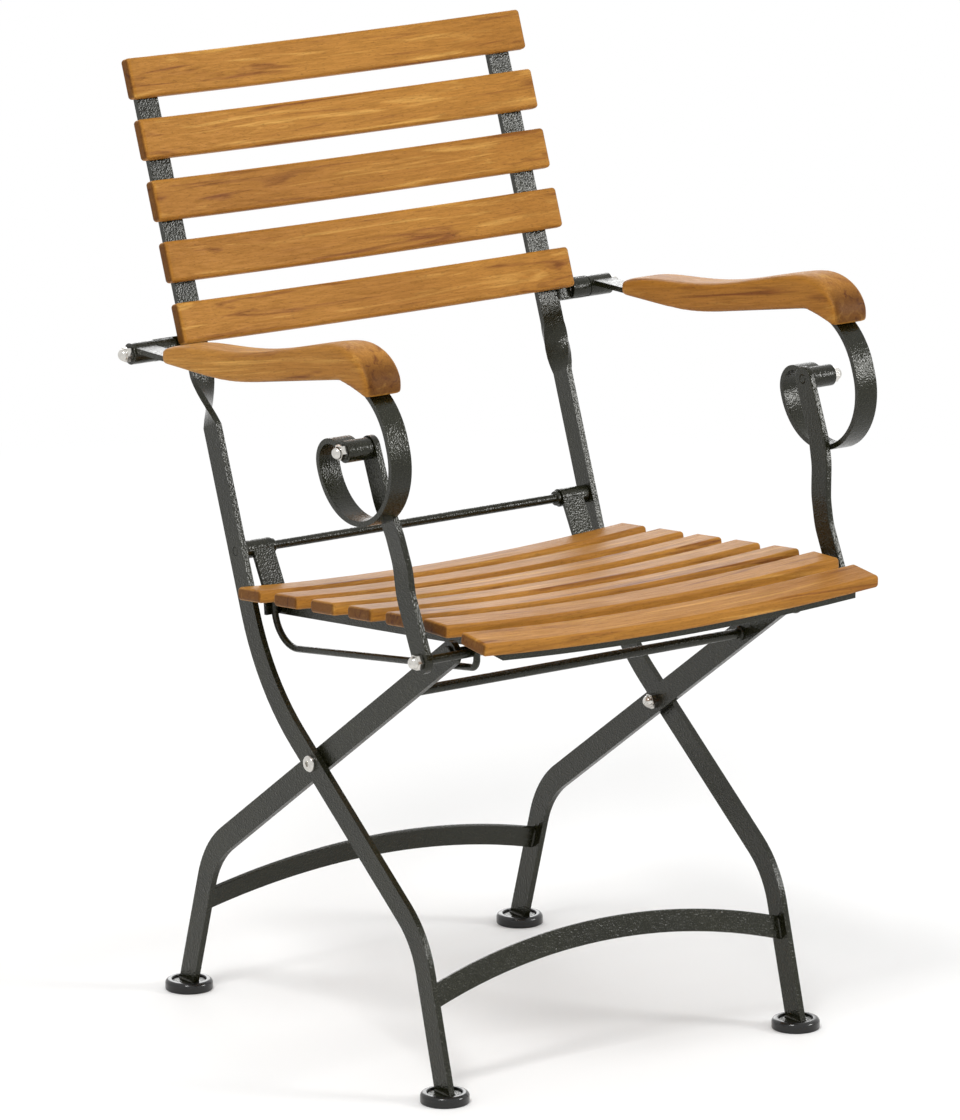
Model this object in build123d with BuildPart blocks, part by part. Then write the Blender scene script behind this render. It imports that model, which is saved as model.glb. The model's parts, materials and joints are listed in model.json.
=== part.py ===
from build123d import *
from math import atan2, cos, degrees, hypot, radians, sin, sqrt, tan
import os

os.makedirs("parts", exist_ok=True)

# A folding armchair: flat-bar steel frame, wooden slats and armrests.
# Millimetres. X runs across the chair, Y backwards, Z up from the floor.
# Side-view points are (y, z) with y counted from the leg pivot, until the side plane places them.

# Flat bars, rods and fits
bar_width = 23.0
bar_thick = 6.0
rod_radius = 4.25
pin_radius = 4.0
fit_gap = 0.05
seat_gap = 0.1
slide_gap = 0.3
side_gap = 0.4

# Distances across the chair, from its middle plane
back_bar_x = 199.5
leg_washer_thick = 1.5
rear_leg_x = back_bar_x - bar_thick - leg_washer_thick
post_x = 234.5
post_top_x = 243.0
arm_x = 260.0

# Front legs and back uprights, one bent bar on each side
leg_pivot_height = 271.3
front_foot_y = -212.0
front_leg_lean = 15.8
front_slope = 36.6
front_corner_radius = 90.0
back_corner_height = 329.8
back_corner_radius = 225.0
back_lean = 20.4
twist_slat_gap = 30.0
twist_length = 48.0
twist_sections = 7
back_bar_top_margin = 6.0

# Rear legs
rear_foot_y = 224.8
rear_leg_lean = 16.8
rear_slope = 35.0
rear_corner_radius = 90.0
under_rod_reach = 163.0
under_rod_radius = 4.75

# Stretchers between the legs
stretcher_width = 21.0
stretcher_thick = 5.0
front_stretcher_height = 91.5
front_stretcher_rise = 31.0
rear_stretcher_height = 92.5
rear_stretcher_rise = 26.0

# Feet
foot_radius = 22.6
foot_height = 10.0
foot_shoulder = 4.0
foot_floor = 4.0
foot_recess_radius = 16.0
foot_plate_thick = 4.0

# Back slats
back_slat_count = 5
back_slat_half = 223.0
back_slat_height = 38.2
back_slat_pitch = 57.9
back_slat_thick = 12.0
back_bow = 12.0
back_top_height = 890.0
slat_edge_radius = 3.5

# Seat slats
seat_slat_count = 7
seat_slat_half = 220.5
seat_slat_width = 38.5
seat_slat_pitch = 60.0
seat_slat_thick = 12.0
seat_dish = 8.3
seat_setback = 28.66
seat_hang = 25.4
seat_rise = 6.2
seat_straight = 278.0
seat_front_radius = 480.0

# Seat frame
rail_x = 170.0
rail_width = 10.0
rail_depth = 15.5
rail_end_gap = 6.0
front_bar_half = 197.0
front_bar_setback = 4.0
wire_x = 181.5
wire_radius = 3.25
wire_rear_depth = 61.4
wire_rear_reach = 2.2
wire_rear_radius = 34.0
wire_front_reach = 324.6
wire_front_depth = 48.5
wire_front_radius = 9.0
wire_rear_top_reach = 3.0
wire_front_top_reach = 331.0
seat_pivot_height = 447.0
ear_thick = 4.0
ear_radius = 8.5
ear_bend_radius = 12.0
ear_shoulder_depth = 8.0
collar_radius = 7.0
collar_length = 4.0
stub_head_radius = 7.0
stub_head_thick = 2.6
arm_rod_stop_gap = 0.8

# Arm linkage
post_length = 195.5
post_bend_low = (60.0, -5.5)
post_bend_high = (115.0, 3.5)
post_bend_radius = 55.0
post_joggle_low = 80.0
post_joggle_high = 132.0
post_joggle_radius = 80.0
eye_radius = 10.0
eye_outer_x = 272.0
arm_bar_width = 22.0
arm_bar_thick = 5.0
arm_bend = (-173.2, 7.1)
arm_bend_radius = 400.0
arm_slope = 11.3
arm_shoulder_radius = 70.0
arm_shoulder_run = 3.0
arm_root = (-6.0, 4.5)
scroll_offset = (-12.6, -5.2)
scroll_radius = 57.5
scroll_start = 160.0
scroll_turn = 185.0
curl_radius = 20.0
curl_turn = 155.0

# Wooden armrests, side outline counted from the arm pivot
arm_wood_width = 39.0
arm_groove_depth = 4.5
arm_wood_edge_radius = 5.0
arm_wood_tip_radius = 16.0
arm_wood_nose_radius = 7.0
arm_wood_end_trim = 0.5
arm_wood_tip = (-55.0, 8.5)
arm_wood_tip_low = -61.0
arm_wood_tip_high = (-58.5, 13.5)
arm_wood_top = [(-67.0, 18.0), (-84.0, 23.0), (-137.0, 29.8), (-201.0, 38.3), (-263.0, 52.8), (-318.0, 66.8)]
arm_wood_crown = (-354.0, 71.0)
arm_wood_brow = (-388.5, 57.0)
arm_wood_lip = (-398.0, 33.5)
arm_wood_lip_inner = (-390.0, 31.5)
arm_wood_hollow = (-369.0, 36.8)
arm_wood_rest_end = -348.0
arm_screw_rear = -75.0
arm_screw_front = -270.0

# Fasteners
nut_across = 13.0
nut_height = 6.0
nut_dome_radius = 5.9
head_radius = 8.0
head_height = 4.4
head_round = 3.0
socket_across = 5.0
socket_depth = 2.4
screw_radius = 1.75
screw_head_radius = 3.6
screw_head_height = 2.4
screw_bite = 7.0
knuckle_length = 20.0
bracket_height = 20.0

sides = ((-1, "left"), (1, "right"))


def polar(length, angle):
    return (length * cos(radians(angle)), length * sin(radians(angle)))


def moved(point, offset):
    return (point[0] + offset[0], point[1] + offset[1])


def meet(first, first_angle, second, second_angle):
    """Crossing of two lines, each given by a point and a direction in degrees."""
    run, rise = polar(1.0, first_angle)
    other_run, other_rise = polar(1.0, second_angle)
    gap_y = second[0] - first[0]
    gap_z = second[1] - first[1]
    reach = (gap_y * other_rise - gap_z * other_run) / (run * other_rise - rise * other_run)
    return (first[0] + reach * run, first[1] + reach * rise)


def bow_depth(x, half_length, bow, thickness):
    """Depth of a bowed slat's hollow-side back face below its ends' front, at x."""
    radius = (half_length**2 + bow**2) / (2 * bow)
    return thickness / 2 + bow - radius + sqrt((radius + thickness / 2) ** 2 - x**2)


def tilted_reach(half_long, half_short, edge_radius, angle):
    """Half extent of a rounded rectangle along an axis that its long side leans from by angle."""
    long_part = (half_long - edge_radius) * abs(cos(radians(angle)))
    short_part = (half_short - edge_radius) * abs(sin(radians(angle)))
    return long_part + short_part + edge_radius


# Side view: the frame's lines and pivots
back_angle = 90.0 - back_lean
leg_pivot = (0.0, leg_pivot_height)
front_foot = (front_foot_y, 0.0)
rear_foot = (rear_foot_y, 0.0)
front_corner = meet(front_foot, 90.0 - front_leg_lean, leg_pivot, front_slope)
rear_corner = meet(rear_foot, 90.0 + rear_leg_lean, leg_pivot, -rear_slope)
back_corner = meet(leg_pivot, front_slope, (0.0, back_corner_height), 0.0)
seat_pivot = meet(back_corner, back_angle, (0.0, seat_pivot_height), 0.0)
arm_pivot = moved(seat_pivot, polar(post_length, back_angle))

# Back slats: their ends' front stands this far in front of the uprights' middle line
bar_inner_x = back_bar_x - bar_width / 2
back_slat_stand = (
    bar_thick / 2 + seat_gap + bow_depth(bar_inner_x, back_slat_half, back_bow, back_slat_thick)
)
back_front = polar(1.0, back_angle + 90.0)
slat_end_line = moved(back_corner, (back_slat_stand * back_front[0], back_slat_stand * back_front[1]))
slat_top = meet(slat_end_line, back_angle, (0.0, back_top_height), 0.0)


def back_slat_middle(index):
    """Middle of a back slat's front at its ends, counted from the top slat."""
    return moved(slat_top, polar(-(back_slat_height / 2 + index * back_slat_pitch), back_angle))


# Seat: it hangs on its pivot rod; places are counted along it from its rear edge and down from its top
seat_rear = moved(seat_pivot, (-seat_setback, -seat_hang))


def seat_line(reach, depth):
    return moved(
        seat_rear,
        moved(polar(reach, 180.0 - seat_rise), polar(depth, 270.0 - seat_rise)),
    )


def seat_tilt(reach):
    """Rise of the seat towards the front, in degrees, where the front rolls down."""
    return seat_rise - degrees(max(0.0, reach - seat_straight) / seat_front_radius)


def seat_curve(reach, depth):
    if reach <= seat_straight:
        return seat_line(reach, depth)
    centre = seat_line(seat_straight, seat_front_radius)
    return moved(centre, polar(seat_front_radius - depth, 90.0 - seat_tilt(reach)))


def seat_slat_reach(index):
    return index * seat_slat_pitch + seat_slat_width / 2


rail_top = seat_gap + bow_depth(rail_x - rail_width / 2, seat_slat_half, seat_dish, seat_slat_thick)
rail_bottom = rail_top + rail_depth
slider_depth = rail_bottom + slide_gap + rod_radius
slider = meet(leg_pivot, 180.0 - rear_slope, seat_line(0.0, slider_depth), 180.0 - seat_rise)
stop_reach = bar_width / 2 + pin_radius + arm_rod_stop_gap
arm_rod_lift = slider_depth - rail_bottom - pin_radius
arm_rod = moved(
    slider,
    moved(polar(stop_reach, 180.0 - seat_rise), polar(arm_rod_lift, 90.0 - seat_rise)),
)
arm_front = moved(arm_rod, polar(post_length, back_angle))

# The chair's outline is centred on the origin, which sets the leg pivot's place along Y
last_reach = seat_slat_reach(seat_slat_count - 1)
front_middle = seat_curve(last_reach, seat_slat_thick / 2)
front_extent = front_middle[0] - tilted_reach(
    seat_slat_width / 2, seat_slat_thick / 2, slat_edge_radius, seat_tilt(last_reach)
)
top_middle = moved(
    back_slat_middle(0), polar(-(back_slat_thick / 2 + back_bow), back_angle + 90.0)
)
rear_extent = top_middle[0] + tilted_reach(
    back_slat_height / 2, back_slat_thick / 2, slat_edge_radius, back_angle
)
pivot_y = -(front_extent + rear_extent) / 2


def side_plane(x):
    """Plane across the chair at x, with side-view points as its own coordinates."""
    return Plane(origin=(x, pivot_y, 0), x_dir=(0, 1, 0), z_dir=(1, 0, 0))


def section_plane(x, point, angle):
    """Plane square to a side-view direction; its own x is across, its own y is to that line's right."""
    run, rise = polar(1.0, angle)
    return Plane(origin=(x, pivot_y + point[0], point[1]), x_dir=(1, 0, 0), z_dir=(0, run, rise))


def face_plane(point, angle):
    """Plane that holds X and a side-view direction; its own y runs along that direction."""
    run, rise = polar(1.0, angle + 90.0)
    return Plane(origin=(0, pivot_y + point[0], point[1]), x_dir=(1, 0, 0), z_dir=(0, run, rise))


def add_rod(point, radius, start_x, end_x, mode=Mode.ADD):
    """Round rod or hole across the chair, in the part that is being built."""
    with BuildSketch(side_plane(start_x)) as end:
        with Locations(point):
            Circle(radius)
    extrude(end.sketch, amount=end_x - start_x, mode=mode)


def add_bar(points, radii, middle_x, width, thickness, mode=Mode.ADD):
    """Bar that follows a side-view path: width in the side view, thickness across the chair."""
    with BuildSketch(side_plane(middle_x)) as outline:
        with BuildLine():
            FilletPolyline(*points, radius=radii)
        trace(line_width=width)
    extrude(outline.sketch, amount=thickness / 2, both=True, mode=mode)


def add_acorn_nut(side, base_x, point):
    """Closed hexagon nut with a domed end, its base towards the chair's middle."""
    with BuildSketch(side_plane(side * base_x)) as hexagon:
        with Locations(point):
            RegularPolygon(nut_across / 2, 6, major_radius=False)
    extrude(hexagon.sketch, amount=side * nut_height)
    with Locations((side * (base_x + nut_height), pivot_y + point[0], point[1])):
        Sphere(nut_dome_radius)
    add_rod(point, pin_radius + fit_gap, side * base_x, side * (base_x + nut_height), Mode.SUBTRACT)


def add_button_head(side, base_x, point):
    """Low round bolt head, rounded on the side away from base_x."""
    with BuildSketch(side_plane(side * base_x)) as base:
        with Locations(point):
            Circle(head_radius)
    extrude(base.sketch, amount=side * head_height)


def add_slat(plane, half_length, width, thickness, bow):
    """Bowed slat: the plane's origin is the middle of its front at the ends' level."""
    end = (half_length, thickness / 2)
    with BuildSketch(plane) as outline:
        with BuildLine():
            ThreePointArc((-end[0], end[1]), (0, end[1] + bow), end)
        trace(line_width=thickness)
    extrude(outline.sketch, amount=width / 2, both=True)


# Back uprights with the front legs
slats_low_edge = moved(back_slat_middle(back_slat_count - 1), polar(-back_slat_height / 2, back_angle))
bar_behind_edge = moved(slats_low_edge, polar(back_slat_stand, back_angle - 90.0))
twist_top = moved(bar_behind_edge, polar(-twist_slat_gap, back_angle))
twist_base = moved(twist_top, polar(-twist_length, back_angle))
bar_top_slat = moved(back_slat_middle(0), polar(back_slat_height / 2 - back_bar_top_margin, back_angle))
bar_top_reach = hypot(bar_top_slat[0] - twist_top[0], bar_top_slat[1] - twist_top[1])
bar_top_length = sqrt(bar_top_reach**2 - back_slat_stand**2)
plate_top = foot_floor + foot_plate_thick
screw_heights = [back_slat_middle(index) for index in range(back_slat_count)]

for side, name in sides:
    bar_x = side * back_bar_x
    front_foot_low = moved(front_foot, polar(-bar_width, 90.0 - front_leg_lean))
    with BuildPart() as back_bar:
        add_bar(
            [front_foot_low, front_corner, back_corner, twist_base],
            [front_corner_radius, back_corner_radius],
            bar_x,
            bar_width,
            bar_thick,
        )
        split(bisect_by=Plane.XY.offset(plate_top), keep=Keep.TOP)
        for step in range(twist_sections):
            share = step / (twist_sections - 1)
            level = moved(twist_base, polar(share * twist_length, back_angle))
            with BuildSketch(section_plane(bar_x, level, back_angle)):
                Rectangle(bar_width, bar_thick, rotation=side * 90.0 * (share - 1.0))
        loft()
        with BuildSketch(section_plane(bar_x, twist_top, back_angle)):
            Rectangle(bar_width, bar_thick)
        extrude(amount=bar_top_length)
        for pivot, radius in ((leg_pivot, pin_radius), (seat_pivot, rod_radius)):
            add_rod(pivot, radius + fit_gap, bar_x - bar_thick, bar_x + bar_thick, Mode.SUBTRACT)
        for middle in screw_heights:
            with BuildSketch(face_plane(middle, back_angle)):
                with Locations((bar_x, 0)):
                    Circle(screw_radius + fit_gap)
            extrude(amount=-2 * back_slat_stand, mode=Mode.SUBTRACT)
    back_bar.part.label = f"back_bar_{name}"
    export_step(back_bar.part, f"parts/back_bar_{name}.step")


# Front and rear stretchers, arched flat bars in the plane of the legs
def add_stretcher(foot, leg_angle, height, rise, half_length):
    point = meet(foot, leg_angle, (0.0, height), 0.0)
    radius = (half_length**2 + rise**2) / (2 * rise)
    end_x = half_length + bar_thick
    end_y = rise - radius + sqrt(radius**2 - end_x**2)
    with BuildSketch(face_plane(point, leg_angle)) as outline:
        with BuildLine():
            ThreePointArc((-end_x, end_y), (0, rise), (end_x, end_y))
        trace(line_width=stretcher_width)
    extrude(outline.sketch, amount=stretcher_thick / 2, both=True)
    Box(2 * half_length, 4 * back_top_height, 4 * back_top_height, mode=Mode.INTERSECT)


front_inner_x = back_bar_x - bar_thick / 2
rear_inner_x = rear_leg_x - bar_thick / 2

with BuildPart() as front_stretcher:
    add_stretcher(
        front_foot, 90.0 - front_leg_lean, front_stretcher_height, front_stretcher_rise, front_inner_x
    )
front_stretcher.part.label = "front_stretcher"
export_step(front_stretcher.part, "parts/front_stretcher.step")

with BuildPart() as rear_stretcher:
    add_stretcher(
        rear_foot, 90.0 + rear_leg_lean, rear_stretcher_height, rear_stretcher_rise, rear_inner_x
    )
rear_stretcher.part.label = "rear_stretcher"
export_step(rear_stretcher.part, "parts/rear_stretcher.step")

# Rear legs
for side, name in sides:
    leg_x = side * rear_leg_x
    rear_foot_low = moved(rear_foot, polar(-bar_width, 90.0 + rear_leg_lean))
    with BuildPart() as rear_leg:
        add_bar([rear_foot_low, rear_corner, slider], [rear_corner_radius], leg_x, bar_width, bar_thick)
        add_rod(slider, bar_width / 2, leg_x - bar_thick / 2, leg_x + bar_thick / 2)
        split(bisect_by=Plane.XY.offset(plate_top), keep=Keep.TOP)
        for pivot in (leg_pivot, slider):
            add_rod(pivot, pin_radius + fit_gap, leg_x - bar_thick, leg_x + bar_thick, Mode.SUBTRACT)
    rear_leg.part.label = f"rear_leg_{name}"
    export_step(rear_leg.part, f"parts/rear_leg_{name}.step")

# Round rod that ties the rear legs together under the seat
under_rod = moved(leg_pivot, polar(under_rod_reach, 180.0 - rear_slope))
with BuildPart() as leg_rod:
    add_rod(under_rod, under_rod_radius, -rear_inner_x, rear_inner_x)
leg_rod.part.label = "leg_rod"
export_step(leg_rod.part, "parts/leg_rod.step")

# Headed stubs in the rear legs' upper ends
with BuildPart() as slider_stubs:
    for side, name in sides:
        outer_x = side * (rear_leg_x + bar_thick / 2)
        add_rod(slider, pin_radius, side * rear_inner_x, outer_x)
        add_rod(slider, stub_head_radius, outer_x, outer_x + side * stub_head_thick)
slider_stubs.part.label = "slider_stubs"
export_step(slider_stubs.part, "parts/slider_stubs.step")

# Feet: a steel disc under each leg, snapped into a glossy cap
foot_angles = (("front", front_foot, 90.0 - front_leg_lean, back_bar_x),
               ("rear", rear_foot, 90.0 + rear_leg_lean, rear_leg_x))
for end, foot, leg_angle, foot_x in foot_angles:
    foot_y = pivot_y + meet(foot, leg_angle, (0.0, plate_top), 0.0)[0]
    for side, name in sides:
        with BuildPart() as foot_cap:
            with Locations((side * foot_x, foot_y, 0)):
                Cylinder(foot_radius, foot_height, align=(Align.CENTER, Align.CENTER, Align.MIN))
            fillet(foot_cap.edges().sort_by(Axis.Z)[-1], foot_shoulder)
            with BuildSketch(Plane.XY.offset(foot_floor)):
                with Locations((side * foot_x, foot_y)):
                    Circle(foot_recess_radius)
            extrude(amount=foot_height, mode=Mode.SUBTRACT)
        foot_cap.part.label = f"{end}_foot_{name}"
        export_step(foot_cap.part, f"parts/{end}_foot_{name}.step")
    with BuildPart() as foot_plates:
        with BuildSketch(Plane.XY.offset(foot_floor)):
            with Locations((-foot_x, foot_y), (foot_x, foot_y)):
                Circle(foot_recess_radius - seat_gap)
        extrude(amount=foot_plate_thick)
    foot_plates.part.label = f"{end}_foot_plates"
    export_step(foot_plates.part, f"parts/{end}_foot_plates.step")

# Leg pivots: button-head bolt, washer between the bars, acorn nut inside
bolt_outer_x = back_bar_x + bar_thick / 2
with BuildPart() as leg_pivot_bolts:
    for side, name in sides:
        add_button_head(side, bolt_outer_x, leg_pivot)
    rims = leg_pivot_bolts.edges().sort_by(Axis.X)
    fillet([rims[0], rims[-1]], head_round)
    for side, name in sides:
        with BuildSketch(side_plane(side * (bolt_outer_x + head_height))):
            with Locations(leg_pivot):
                RegularPolygon(socket_across / 2, 6, major_radius=False)
        extrude(amount=-side * socket_depth, mode=Mode.SUBTRACT)
        add_rod(leg_pivot, pin_radius, side * bolt_outer_x, side * (rear_inner_x - nut_height))
leg_pivot_bolts.part.label = "leg_pivot_bolts"
export_step(leg_pivot_bolts.part, "parts/leg_pivot_bolts.step")

with BuildPart() as leg_pivot_washers:
    for side, name in sides:
        add_rod(leg_pivot, head_radius, side * front_inner_x, side * (front_inner_x - leg_washer_thick))
    add_rod(leg_pivot, pin_radius + fit_gap, -bolt_outer_x, bolt_outer_x, Mode.SUBTRACT)
leg_pivot_washers.part.label = "leg_pivot_washers"
export_step(leg_pivot_washers.part, "parts/leg_pivot_washers.step")

with BuildPart() as leg_pivot_nuts:
    for side, name in sides:
        add_acorn_nut(-side, -(rear_inner_x - slide_gap), leg_pivot)
leg_pivot_nuts.part.label = "leg_pivot_nuts"
export_step(leg_pivot_nuts.part, "parts/leg_pivot_nuts.step")

# Back slats and the screws that hold them from behind the uprights
slat_back_at_bar = bow_depth(back_bar_x, back_slat_half, back_bow, back_slat_thick)
for index in range(back_slat_count):
    middle = back_slat_middle(index)
    with BuildPart() as back_slat:
        add_slat(
            section_plane(0, middle, back_angle), back_slat_half, back_slat_height, back_slat_thick, back_bow
        )
        fillet(back_slat.edges(), slat_edge_radius)
        with BuildSketch(face_plane(middle, back_angle).offset(-slat_back_at_bar + screw_bite)):
            with Locations((-back_bar_x, 0), (back_bar_x, 0)):
                Circle(screw_radius + fit_gap)
        extrude(amount=-2 * screw_bite, mode=Mode.SUBTRACT)
    back_slat.part.label = f"back_slat_{index + 1}"
    export_step(back_slat.part, f"parts/back_slat_{index + 1}.step")

bar_rear_depth = back_slat_stand + bar_thick / 2
with BuildPart() as back_slat_screws:
    for index in range(back_slat_count):
        with BuildSketch(face_plane(back_slat_middle(index), back_angle).offset(-bar_rear_depth)):
            with Locations((-back_bar_x, 0), (back_bar_x, 0)):
                Circle(screw_head_radius)
        extrude(amount=-screw_head_height)
        with BuildSketch(face_plane(back_slat_middle(index), back_angle).offset(-bar_rear_depth)):
            with Locations((-back_bar_x, 0), (back_bar_x, 0)):
                Circle(screw_radius)
        extrude(amount=bar_rear_depth - slat_back_at_bar + screw_bite - seat_gap)
back_slat_screws.part.label = "back_slat_screws"
export_step(back_slat_screws.part, "parts/back_slat_screws.step")

# Arm brackets: a strap in the plane of the upright that ends in a knuckle
bar_edge_x = back_bar_x + bar_width / 2
knuckle_outer_x = post_top_x + bar_thick / 2 - side_gap
knuckle_inner_x = knuckle_outer_x - knuckle_length
for side, name in sides:
    with BuildPart() as arm_bracket:
        with BuildSketch(face_plane(arm_pivot, back_angle)):
            with Locations((side * (bar_edge_x + knuckle_outer_x) / 2, 0)):
                Rectangle(knuckle_outer_x - bar_edge_x, bracket_height)
        extrude(amount=bar_thick / 2, both=True)
        ends = (side * knuckle_inner_x, side * knuckle_outer_x)
        add_rod(arm_pivot, eye_radius, *ends)
        add_rod(arm_pivot, pin_radius + fit_gap, *ends, Mode.SUBTRACT)
    arm_bracket.part.label = f"arm_bracket_{name}"
    export_step(arm_bracket.part, f"parts/arm_bracket_{name}.step")

# Studs that the arms turn on, fixed in the brackets' knuckles
eye_inner_x = post_top_x + bar_thick / 2 + side_gap
nut_base_x = eye_outer_x + side_gap
bolt_end_x = nut_base_x + nut_height - seat_gap

with BuildPart() as arm_pivot_studs:
    for side, name in sides:
        add_rod(arm_pivot, pin_radius, side * knuckle_inner_x, side * bolt_end_x)
arm_pivot_studs.part.label = "arm_pivot_studs"
export_step(arm_pivot_studs.part, "parts/arm_pivot_studs.step")

with BuildPart() as arm_pivot_nuts:
    for side, name in sides:
        add_acorn_nut(side, nut_base_x, arm_pivot)
arm_pivot_nuts.part.label = "arm_pivot_nuts"
export_step(arm_pivot_nuts.part, "parts/arm_pivot_nuts.step")

# Rod that the seat hangs on, through both uprights, with a collar beside each seat ear
ear_inner_x = rail_x - rail_width / 2
ear_outer_x = ear_inner_x + bar_width
with BuildPart() as seat_pivot_rod:
    add_rod(seat_pivot, rod_radius, -bolt_outer_x, bolt_outer_x)
    for side, name in sides:
        collar_x = ear_inner_x - side_gap
        add_rod(seat_pivot, collar_radius, side * collar_x, side * (collar_x - collar_length))
seat_pivot_rod.part.label = "seat_pivot_rod"
export_step(seat_pivot_rod.part, "parts/seat_pivot_rod.step")


# Seat slats, screwed up from the rails, the front one from the front bar
def seat_drop(reach):
    """How far the rolled front lies below the straight seat line."""
    return max(0.0, reach - seat_straight) ** 2 / (2 * seat_front_radius)


front_index = seat_slat_count - 1
slat_under_rail = bow_depth(rail_x, seat_slat_half, seat_dish, seat_slat_thick)


def screw_plane(index, depth):
    """Plane under a seat slat, facing up into it, at a depth below the slat's top."""
    reach = seat_slat_reach(index)
    if index == front_index:
        return face_plane(seat_curve(reach, depth), -seat_tilt(reach))
    return face_plane(seat_line(reach, depth + seat_drop(reach)), -seat_rise)


front_bar_shift = seat_slat_width / 2 - front_bar_setback - bar_width / 2


def screw_places(index):
    shift = -front_bar_shift if index == front_index else 0.0
    return ((-rail_x, shift), (rail_x, shift))


for index in range(seat_slat_count):
    reach = seat_slat_reach(index)
    with BuildPart() as seat_slat:
        add_slat(
            section_plane(0, seat_curve(reach, 0.0), -seat_tilt(reach)),
            seat_slat_half,
            seat_slat_width,
            seat_slat_thick,
            seat_dish,
        )
        fillet(seat_slat.edges(), slat_edge_radius)
        with BuildSketch(screw_plane(index, slat_under_rail - screw_bite)):
            with Locations(*screw_places(index)):
                Circle(screw_radius + fit_gap)
        extrude(amount=-2 * screw_bite, mode=Mode.SUBTRACT)
    seat_slat.part.label = f"seat_slat_{index + 1}"
    export_step(seat_slat.part, f"parts/seat_slat_{index + 1}.step")

# Flat bar under the front slat, bent to the slat's dish
slat_arc_radius = (seat_slat_half**2 + seat_dish**2) / (2 * seat_dish)
front_bar_arc = slat_arc_radius + seat_slat_thick / 2 + seat_gap + bar_thick / 2
front_bar_bow = front_bar_arc - sqrt(front_bar_arc**2 - front_bar_half**2)
front_bar_depth = seat_gap + bow_depth(front_bar_half, seat_slat_half, seat_dish, seat_slat_thick)
front_tilt = seat_tilt(last_reach)
front_bar_place = moved(
    seat_curve(last_reach, front_bar_depth), polar(front_bar_shift, 180.0 - front_tilt)
)
front_bar_screw_depth = bar_thick + slat_under_rail + seat_gap
with BuildPart() as seat_front_bar:
    add_slat(
        section_plane(0, front_bar_place, -front_tilt), front_bar_half, bar_width, bar_thick, front_bar_bow
    )
    with BuildSketch(screw_plane(front_index, front_bar_screw_depth + bar_thick)):
        with Locations(*screw_places(front_index)):
            Circle(screw_radius + fit_gap)
    extrude(amount=3 * bar_thick, mode=Mode.SUBTRACT)
seat_front_bar.part.label = "seat_front_bar"
export_step(seat_front_bar.part, "parts/seat_front_bar.step")

# Seat rails: the top follows the slats, the straight underside runs on the slider rod
rail_rear = -ear_thick / 2
rail_front = last_reach + front_bar_shift - bar_width / 2 - rail_end_gap
rail_arc_middle = (seat_straight + rail_front) / 2
for side, name in sides:
    with BuildPart() as seat_rail:
        with BuildSketch(side_plane(side * rail_x)):
            with BuildLine():
                Polyline(
                    seat_curve(rail_front, rail_top),
                    seat_line(rail_front, rail_bottom),
                    seat_line(rail_rear, rail_bottom),
                    seat_line(rail_rear, rail_top),
                    seat_line(seat_straight, rail_top),
                )
                ThreePointArc(
                    seat_line(seat_straight, rail_top),
                    seat_curve(rail_arc_middle, rail_top),
                    seat_curve(rail_front, rail_top),
                )
            make_face()
        extrude(amount=rail_width / 2, both=True)
        for index in range(front_index):
            with BuildSketch(face_plane(seat_line(seat_slat_reach(index), rail_bottom), -seat_rise)):
                with Locations((side * rail_x, 0)):
                    Circle(screw_head_radius + fit_gap)
            extrude(amount=screw_head_height + 2 * seat_gap, mode=Mode.SUBTRACT)
            with BuildSketch(face_plane(seat_line(seat_slat_reach(index), rail_bottom), -seat_rise)):
                with Locations((side * rail_x, 0)):
                    Circle(screw_radius + fit_gap)
            extrude(amount=2 * rail_depth, mode=Mode.SUBTRACT)
    seat_rail.part.label = f"seat_rail_{name}"
    export_step(seat_rail.part, f"parts/seat_rail_{name}.step")

# Screws of the seat slats: sunk into the rails, and under the front bar
with BuildPart() as seat_slat_screws:
    for index in range(seat_slat_count):
        if index == front_index:
            head_plane = screw_plane(index, front_bar_screw_depth + slide_gap)
            shank = front_bar_screw_depth + slide_gap - slat_under_rail + screw_bite
        else:
            sunk = screw_head_height + seat_gap
            head_plane = face_plane(seat_line(seat_slat_reach(index), rail_bottom - sunk), -seat_rise)
            shank = rail_bottom - sunk - slat_under_rail - seat_drop(seat_slat_reach(index)) + screw_bite
        with BuildSketch(head_plane):
            with Locations(*screw_places(index)):
                Circle(screw_head_radius)
        extrude(amount=-screw_head_height)
        with BuildSketch(head_plane):
            with Locations(*screw_places(index)):
                Circle(screw_radius)
        extrude(amount=shank - seat_gap)
seat_slat_screws.part.label = "seat_slat_screws"
export_step(seat_slat_screws.part, "parts/seat_slat_screws.step")

# Seat ears: an eye on the pivot rod and a strap down to the rear end of each rail
ear_reach = rail_rear - seat_gap - ear_thick / 2
ear_root = moved(seat_pivot, (ear_thick / 2 - ear_radius, 0.0))
eye_end_x = front_inner_x - 2 * side_gap
for side, name in sides:
    with BuildPart() as seat_ear:
        add_bar(
            [ear_root, seat_line(ear_reach, ear_shoulder_depth), seat_line(ear_reach, rail_bottom)],
            [ear_bend_radius],
            side * (ear_inner_x + ear_outer_x) / 2,
            ear_thick,
            bar_width,
        )
        add_rod(seat_pivot, ear_radius, side * ear_inner_x, side * eye_end_x)
        add_rod(seat_pivot, rod_radius + fit_gap, 0, side * bolt_outer_x, Mode.SUBTRACT)
    seat_ear.part.label = f"seat_ear_{name}"
    export_step(seat_ear.part, f"parts/seat_ear_{name}.step")

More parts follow.
